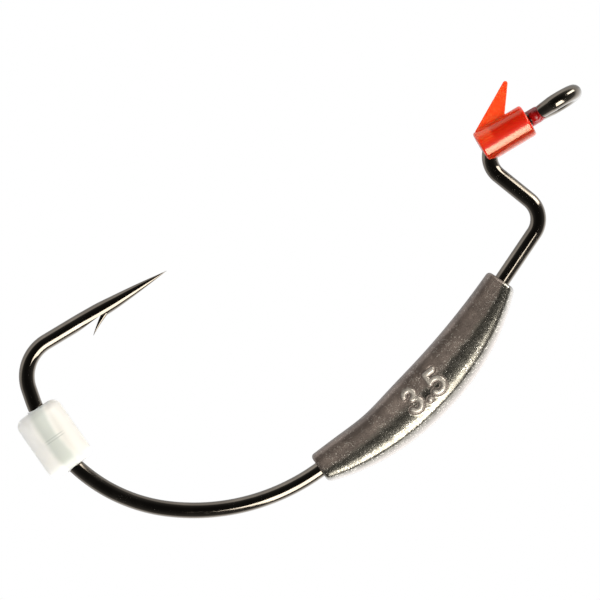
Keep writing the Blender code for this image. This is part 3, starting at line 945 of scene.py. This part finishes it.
SLEEVE_FRONT = -3.50
SLEEVE_REAR = -9.05
HEEL_PLACE = (-8.75, 0.0, -1.52)    # middle of the slanted cut at the lower rear corner
HEEL_ANGLE = 40.0
HEEL_CUTTER = 4.0                   # edge of the cube that makes the cut
FIN_TIP = Vector((-3.62, 0.0, 4.32))
FIN_TIP_RADIUS = 0.24
FIN_FOOT_Z = 1.0                    # sunk in the sleeve
FIN_FRONT_X = -5.80
FIN_SHOULDER = Vector((-8.62, 0.0, 1.78))
FIN_REAR_Z = 1.42
FILLET_REACH = 0.30                 # beyond the fin's faces and above the sleeve
RIM_REACH = 0.45                    # of the softened rims, from the sleeve's ends
HEEL_CORNER = (-7.6, -0.9)          # x, z: the slanted cut lies behind and below this


def sleeve_blank(radius, edge):
    bm = bmesh.new()
    rim = quarter_round(edge, 6)
    profile = [(SLEEVE_REAR + depth, radius - inset) for depth, inset in rim]
    profile += [(SLEEVE_FRONT - depth, radius - inset) for depth, inset in reversed(rim)]
    skin(bm, [circle(Vector((x, 0.0, 0.0)), -LEFT, UP, r, 128) for x, r in profile])
    return new_object("bait_keeper", bm)


def fin_blank(thickness):
    """The fin's plate, with its foot sunk in the sleeve and a shoulder at the sleeve's rear."""
    rear_low = Vector((SLEEVE_REAR + 0.05, 0.0, FIN_FOOT_Z))
    rear_top = Vector((rear_low.x, 0.0, FIN_REAR_Z))
    front = Vector((FIN_FRONT_X, 0.0, FIN_FOOT_Z))
    back, belly = FIN_TIP - FIN_SHOULDER, FIN_TIP - front
    ramp = math.atan2(back.z, back.x) + math.radians(90.0)
    under = math.atan2(belly.z, belly.x) - math.radians(90.0)
    outline = [rear_low, front]
    for step in range(9):
        angle = under + (ramp - under) * step / 8
        outline.append(FIN_TIP + Vector((math.cos(angle), 0.0, math.sin(angle))) * FIN_TIP_RADIUS)
    outline += [FIN_SHOULDER, rear_top]
    half = LEFT * (thickness / 2.0)
    bm = bmesh.new()
    skin(bm, [[p - half for p in outline], [p + half for p in outline]])
    return new_object("fin_blank", bm)


def true_faces(keeper, radius, thickness):
    """Bring the softened sleeve back to its round, and the fin's faces back to flat."""
    points = coordinates(keeper)
    x, y, z = points.T
    reach = np.hypot(y, z)
    clear_of_fin = (z < 0.0) | (np.abs(y) > thickness / 2.0 + FILLET_REACH)
    inside_ends = (x > SLEEVE_REAR + RIM_REACH) & (x < SLEEVE_FRONT - RIM_REACH)
    above_heel = (x > HEEL_CORNER[0]) | (z > HEEL_CORNER[1])
    on_sleeve = (np.abs(reach - radius) < 0.05) & clear_of_fin & inside_ends & above_heel
    points[on_sleeve, 1:] *= (radius / reach[on_sleeve])[:, None]
    on_fin = (z > radius + FILLET_REACH) & (np.abs(np.abs(y) - thickness / 2.0) < 0.03)
    points[on_fin, 1] = np.sign(y[on_fin]) * thickness / 2.0
    set_coordinates(keeper, points)


class OBJECT_OT_bait_keeper(bpy.types.Operator):
    """Mould the keeper's sleeve and barb fin round the neck as one piece"""
    bl_idname = "object.make_bait_keeper"
    bl_label = "Bait Keeper"

    def execute(self, context):
        settings = context.scene.swimbait_hook.keeper
        wire_radius = context.scene.swimbait_hook.wire.radius / MM
        path, places = hook_path()
        radius, thickness = settings.radius / MM, settings.fin_thickness / MM
        keeper = sleeve_blank(radius, settings.edge / MM)
        cut(keeper, fin_blank(thickness), "UNION")

        heel = bmesh.new()
        bmesh.ops.create_cube(heel, size=HEEL_CUTTER)
        bmesh.ops.translate(heel, vec=UP * (-HEEL_CUTTER / 2.0), verts=heel.verts)
        slant = Matrix.Rotation(math.radians(HEEL_ANGLE), 4, "Y")
        place = Matrix.Translation(HEEL_PLACE)
        bmesh.ops.transform(heel, matrix=place @ slant, verts=heel.verts)
        cut(keeper, new_object("heel_cut", heel))
        route = path.stretch(places["ring_end"], places["shank"] - 4.0, 0.15)
        cut(keeper, round_bar("keeper_bore", route, wire_radius + 0.02, 64))
        soften(keeper, 0.045, 5)
        true_faces(keeper, radius, thickness)
        finish_piece(keeper, orange_plastic(settings), "orange_plastic",
                     "keeper_sleeve", "keeper_fin")
        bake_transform(keeper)
        return {"FINISHED"}


# ---------------------------------------------------------------- bead

BEAD_SIDES = 96
BEAD_GROOVES = (0.05, 0.18, 0.07)       # two in the bore: depth, place from the middle, spread
BEAD_MOUTH = ((0.004, 0.14), (0.05, 0.04))      # in from an end, and the bore's flare there
BEAD_MOUTH_REACH = 0.12


class OBJECT_OT_bend_bead(bpy.types.Operator):
    """Mould the soft bead, with a bore that follows the round bend"""
    bl_idname = "object.make_bend_bead"
    bl_label = "Bend Bead"

    def execute(self, context):
        settings = context.scene.swimbait_hook.bead
        wire_radius = context.scene.swimbait_hook.wire.radius / MM
        low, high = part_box("stopper_bead")
        centre = Vector(JOINTS["bead_slide"]["pos_m"]) / MM
        middle = (low + high) / 2.0 / MM
        inward = (centre - middle).normalized()
        along = LEFT.cross(inward) * -1.0
        on_wire = middle - inward * (settings.inset / MM)
        bend_radius = (centre - on_wire).length
        radius, length, edge = settings.radius / MM, settings.length / MM, settings.edge / MM
        half = length / 2.0
        profile = [(depth - half, radius - inset) for depth, inset in quarter_round(edge, 8)]
        straight = [(offset, radius) for offset in np.linspace(-half + edge, half - edge, 40)]
        profile += straight[1:-1] + [(-offset, r) for offset, r in reversed(profile)]
        rings = [circle(middle + along * offset, inward, LEFT, r, BEAD_SIDES)
                 for offset, r in profile]

        def bore_ring(offset, r):
            turn = Matrix.Rotation(-offset / bend_radius, 3, LEFT)
            point = centre + turn @ (on_wire - centre)
            return circle(point, turn @ inward, LEFT, r, BEAD_SIDES)

        tight = wire_radius + 0.02
        reach = half - BEAD_MOUTH_REACH
        bore = [(offset, tight + BEAD_GROOVES[0] * hump(abs(offset), *BEAD_GROOVES[1:]))
                for offset in np.linspace(reach, -reach, 90)]
        mouth = [(half - depth, tight + flare) for depth, flare in BEAD_MOUTH]
        bore = mouth + bore + [(-offset, r) for offset, r in reversed(mouth)]
        rings += [bore_ring(offset, r) for offset, r in bore]
        bm = bmesh.new()
        skin(bm, rings, closed=True)
        bead = new_object("bend_bead", bm)
        spots = [Vector(spot) for spot in coordinates(bead)]
        asides = [(centre - Vector((spot.x, 0.0, spot.z))).length - bend_radius for spot in spots]
        write_attribute(bead.data, "wire_aside", asides)
        write_attribute(bead.data, "axis_place", [(spot - middle).dot(along) for spot in spots])
        finish_piece(bead, clear_silicone(settings), "clear_silicone", "stopper_bead")
        bead.data.set_sharp_from_angle(angle=math.radians(40.0))
        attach(bead, "bead")
        return {"FINISHED"}


# ---------------------------------------------------------------- varnish

FILM_START = 1.7                    # along the neck, from the end of the ring
FILM_LENGTH = 1.4
DROP_RADII = (0.62, 0.66)           # across the neck: sideways, and up and down
DROP_PLACE = (-0.52, 0.04)          # y, z


class OBJECT_OT_eye_varnish(bpy.types.Operator):
    """Flow the sealing varnish over the eye's closure and the neck"""
    bl_idname = "object.make_eye_varnish"
    bl_label = "Eye Varnish"

    def execute(self, context):
        settings = context.scene.swimbait_hook.varnish
        wire = context.scene.swimbait_hook.wire
        path, places = hook_path()
        low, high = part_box("eye_seal")
        film = settings.film / MM
        film_start = places["ring_end"] + FILM_START
        route = path.stretch(film_start, film_start + FILM_LENGTH, 0.1)
        varnish = round_bar("eye_varnish", route, wire.radius / MM + film, 64)
        drop = bmesh.new()
        bmesh.ops.create_uvsphere(drop, u_segments=48, v_segments=32, radius=1.0)
        size = (high - low) / 2.0 / MM
        middle = (low + high) / 2.0 / MM
        bmesh.ops.scale(drop, vec=(size.x * 1.05, *DROP_RADII), verts=drop.verts)
        bmesh.ops.translate(drop, vec=(middle.x, *DROP_PLACE), verts=drop.verts)
        cut(varnish, new_object("varnish_drop", drop), "UNION")
        end = path.stretch(0.05, 0.20, 0.05)
        end_radius = wire.end_radius / MM + film + 0.02
        cut(varnish, round_bar("varnish_end", end, end_radius, 48), "UNION")
        soften(varnish, 0.04, 10)
        finish_piece(varnish, red_varnish(settings), "red_varnish", "eye_seal")
        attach(varnish, "hook_assembly")
        return {"FINISHED"}


# ---------------------------------------------------------------- studio

AIM = Vector((-0.03236, 0.0, -0.00368))
SOFTBOX_DISTANCE = 0.60
SOFTBOX_COLOUR = (1.0, 0.98, 0.92)
SOFTBOXES = (       # name, clock, tilt, angles that it fills each way, radiance
    ("low_softbox", -55.5, 47.0, (31.0, 45.0), 13.5),
    ("side_softbox", 40.0, 75.0, (18.0, 40.0), 13.5),
    ("front_fill", 90.0, 20.0, (50.0, 50.0), 0.5))


def view_axes(roll):
    """The camera's right and up in the hook's plane."""
    turn = Matrix.Rotation(roll, 3, "Y")
    return turn @ Vector((1.0, 0.0, 0.0)), turn @ UP


def clock_direction(clock, tilt, roll):
    """A direction by its turn from the camera's right and its tilt from the line of sight."""
    right, up = view_axes(roll)
    aside = right * math.cos(clock) + up * math.sin(clock)
    outward = LEFT * math.cos(tilt) + aside * math.sin(tilt)
    onward = aside * math.cos(tilt) - LEFT * math.sin(tilt)
    return outward, onward


def add_softbox(name, clock, tilt, spread, radiance, roll):
    """A rectangular light aimed at the hook."""
    outward, onward = clock_direction(math.radians(clock), math.radians(tilt), roll)
    across, along = (2.0 * SOFTBOX_DISTANCE * math.tan(math.radians(a / 2.0)) for a in spread)
    data = bpy.data.lights.new(name, "AREA")
    data.shape = "RECTANGLE"
    data.size, data.size_y = across, along
    data.energy = radiance * math.pi * across * along
    data.color = SOFTBOX_COLOUR
    light = add_to_scene(name, data)
    axes = Matrix((onward.cross(outward), onward, outward)).transposed().to_4x4()
    light.matrix_world = Matrix.Translation(AIM + outward * SOFTBOX_DISTANCE) @ axes
    light.visible_camera = False
    light.visible_glossy = name != "front_fill"


def studio_world(roll):
    """A white backdrop behind the hook, with a reflector and a window beside it, and a dark
    room in front.
    """
    world = bpy.data.worlds.new("studio_world")
    bpy.context.scene.world = world
    world.use_nodes = True
    world.node_tree.nodes.clear()
    shading = Shading(world.node_tree)
    direction = shading.add("ShaderNodeTexCoord").outputs["Generated"]

    def toward(aim):
        node = shading.add("ShaderNodeVectorMath", {"operation": "DOT_PRODUCT"})
        shading.feed(node, "0", direction)
        shading.feed(node, "1", aim)
        return node.outputs["Value"]

    behind = toward(-LEFT)
    reflector = toward(clock_direction(math.radians(135.0), math.radians(90.0), roll)[0])
    window = toward(clock_direction(math.radians(-45.0), math.radians(90.0), roll)[0])
    lift = shading.maths("POWER", shading.maths("MAXIMUM", reflector, 0.0), 2.0)
    edge = shading.span(shading.line(lift, 0.58, behind), -0.13, 0.44)
    glare = shading.times(shading.maths("MAXIMUM", window, 0.0),
                          shading.maths("MAXIMUM", behind, 0.0))
    level = shading.line(glare, 3.8, shading.line(behind, -1.35, 1.95))
    room = shading.span(behind, -1.0, 0.3, 0.04, 0.34)
    glow = shading.maths("MAXIMUM", shading.times(edge, level), room)
    seen = shading.add("ShaderNodeLightPath").outputs["Is Camera Ray"]
    strength = shading.maths("MAXIMUM", glow, seen)
    sky = shading.add("ShaderNodeBackground", Color=(1.0, 1.0, 1.0, 1.0), Strength=strength)
    shading.add("ShaderNodeOutputWorld", Surface=sky.outputs[0])


def pale_floor(drop):
    bm = bmesh.new()
    bmesh.ops.create_grid(bm, x_segments=8, y_segments=8, size=6.0)
    floor = new_object("studio_floor", bm)
    floor.data.transform(Matrix.Translation((0.0, 0.0, -drop)))
    material, shading, shader, place = new_material(
        "floor_paper", Roughness=0.9, Emission_Color=(1.0, 1.0, 1.0, 1.0), Emission_Strength=0.75)
    tone = shading.span(shading.noise(place, 40.0), 0.3, 0.7)
    shading.feed(shader, "Base Color", shading.mix(tone, (0.90, 0.90, 0.90, 1.0),
                                                   (0.93, 0.93, 0.93, 1.0)))
    floor.data.materials.append(material)
    floor.visible_glossy = floor.visible_diffuse = False


class OBJECT_OT_studio(bpy.types.Operator):
    """Set up the floor, the lights and the camera"""
    bl_idname = "object.make_hook_studio"
    bl_label = "Studio"

    def execute(self, context):
        scene = context.scene
        settings = scene.swimbait_hook.studio
        scene.view_settings.view_transform = "Standard"
        studio_world(settings.roll)
        pale_floor(settings.floor_drop)
        for softbox in SOFTBOXES:
            add_softbox(*softbox, settings.roll)

        data = bpy.data.cameras.new("product_camera")
        data.lens = data.sensor_width * settings.distance / settings.frame_width
        data.clip_start, data.clip_end = 0.01, 20.0
        camera = add_to_scene("product_camera", data)
        level = Matrix.Rotation(math.radians(90.0), 4, "X")
        roll = Matrix.Rotation(settings.roll, 4, "Y")
        camera.matrix_world = (Matrix.Translation(AIM + LEFT * settings.distance)
                               @ roll @ level)
        scene.camera = camera
        return {"FINISHED"}


# ---------------------------------------------------------------- sidebar and registration

STEPS = (OBJECT_OT_studio, OBJECT_OT_hook_wire, OBJECT_OT_belly_weight, OBJECT_OT_bait_keeper,
         OBJECT_OT_bend_bead, OBJECT_OT_eye_varnish)


class VIEW3D_PT_swimbait_hook(bpy.types.Panel):
    """Lists the hook's pieces and their settings."""
    bl_label = "Swimbait Hook"
    bl_space_type = "VIEW_3D"
    bl_region_type = "UI"
    bl_category = "Swimbait Hook"

    def draw(self, context):
        layout = self.layout
        for step in STEPS:
            layout.operator(step.bl_idname)
        settings = context.scene.swimbait_hook
        for group in ("wire", "weight", "keeper", "bead", "varnish", "studio"):
            box = layout.box()
            box.label(text=group.capitalize())
            part = getattr(settings, group)
            for name in part.__annotations__:
                box.prop(part, name)


CLASSES = (HookWireSettings, BellyWeightSettings, KeeperSettings, BeadSettings, VarnishSettings,
           StudioSettings, SwimbaitHookSettings) + STEPS + (VIEW3D_PT_swimbait_hook,)


def register():
    for cls in CLASSES:
        bpy.utils.register_class(cls)
    bpy.types.Scene.swimbait_hook = PointerProperty(type=SwimbaitHookSettings)


def unregister():
    del bpy.types.Scene.swimbait_hook
    for cls in reversed(CLASSES):
        bpy.utils.unregister_class(cls)


def main():
    register()
    bpy.ops.object.make_hook_studio()
    bpy.ops.object.make_hook_wire()
    bpy.ops.object.make_belly_weight()
    bpy.ops.object.make_bait_keeper()
    bpy.ops.object.make_bend_bead()
    bpy.ops.object.make_eye_varnish()


if __name__ == "__main__":
    main()
